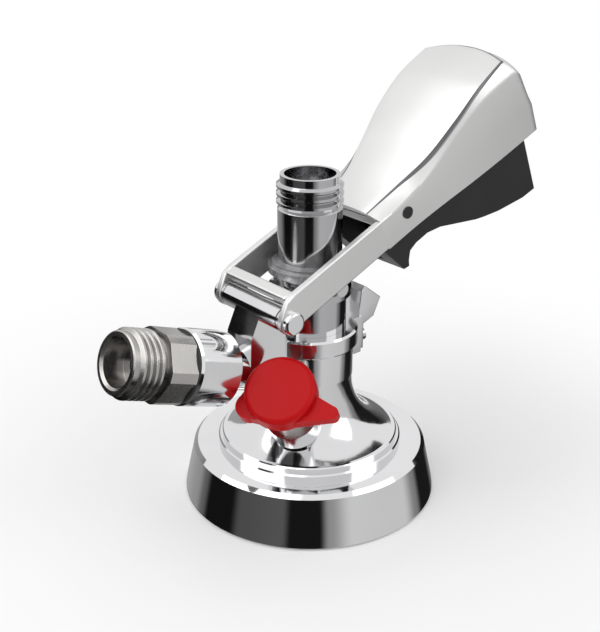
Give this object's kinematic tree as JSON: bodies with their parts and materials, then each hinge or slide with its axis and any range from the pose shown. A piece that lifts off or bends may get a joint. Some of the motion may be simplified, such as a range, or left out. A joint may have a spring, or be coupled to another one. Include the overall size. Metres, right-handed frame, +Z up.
{
  "type": "keg coupler",
  "caption": "Keg coupler with a bell base, a sliding beer probe driven by a hinged lever with a black grip, a side gas inlet and a red relief knob.",
  "frame": {"origin": "centre of the keg socket in the bell's lower face", "axes": "+Z up along the probe, +X towards the lever's handle, -X towards the gas inlet"},
  "size_m": [0.1841, 0.092, 0.1517],
  "materials": {
    "chrome": "bright chrome plate",
    "satin_chrome": "pearl satin chrome",
    "nickel": "dull turned nickel",
    "stainless": "turned stainless steel",
    "spring_steel": "drawn wire",
    "black_rubber": "moulded nitrile",
    "black_plastic": "fine moulded grain",
    "white_plastic": "turned acetal",
    "red_plastic": "glossy moulded red"
  },
  "bodies": {
    "coupler_body": {"bell_ring": "chrome", "body": "chrome", "body_seal": "black_rubber", "guide_bush": "white_plastic", "bush_circlip": "spring_steel", "gland_seal": "black_rubber", "catch_plate": "chrome", "catch_screws": "stainless", "gas_inlet": "nickel", "inlet_washer": "black_rubber", "poppet_spider": "white_plastic", "poppet_spring": "spring_steel", "relief_housing": "nickel", "relief_spring": "spring_steel"},
    "lever": {"lever": "satin_chrome", "hinge_pin": "chrome", "hinge_cap": "chrome", "hinge_washers": "stainless", "drive_pins": "stainless", "grip_pin": "black_plastic", "grip_spring": "spring_steel"},
    "grip": {"grip": "black_plastic"},
    "probe": {"probe": "chrome", "tip_retainer": "stainless", "probe_seal": "black_rubber", "ball_stop": "white_plastic", "lift_ring": "stainless", "lift_clip": "spring_steel"},
    "check_ball": {"check_ball": "stainless"},
    "gas_poppet": {"gas_poppet": "stainless", "poppet_seal": "black_rubber"},
    "relief_valve": {"relief_knob": "red_plastic", "relief_stem": "stainless", "relief_seal": "black_rubber"}
  },
  "joints": [
    {"name": "lever_hinge", "type": "hinge", "parent": "coupler_body", "child": "lever", "pos_m": [-0.023, 0, 0.0763], "axis": [0, 1, 0], "range_deg": [0, 25]},
    {"name": "probe_slide", "type": "slide", "parent": "coupler_body", "child": "probe", "axis": [0, 0, -1], "range_m": [0, 0.0104]},
    {"name": "grip_squeeze", "type": "hinge", "parent": "lever", "child": "grip", "pos_m": [0.02868, 0, 0.10291], "axis": [0, -1, 0], "range_deg": [0, 4], "stiffness_Nm_per_rad": 0.6, "springref_deg": -11.46, "deforming": ["grip_spring"]},
    {"name": "ball_lift", "type": "slide", "parent": "probe", "child": "check_ball", "axis": [0, 0, 1], "range_m": [0, 0.004]},
    {"name": "poppet_open", "type": "slide", "parent": "coupler_body", "child": "gas_poppet", "axis": [0.9397, 0, -0.342], "range_m": [0, 0.003], "stiffness_N_per_m": 300, "springref_m": -0.003, "deforming": ["poppet_spring"]},
    {"name": "relief_pull", "type": "slide", "parent": "coupler_body", "child": "relief_valve", "axis": [-0.5316, -0.3613, 0.766], "range_m": [0, 0.003], "stiffness_N_per_m": 1000, "springref_m": -0.004, "deforming": ["relief_spring"]}
  ],
  "couplings": [
    {"joint": "probe_slide", "follows": "lever_hinge", "m_per_rad": 0.023372}
  ]
}
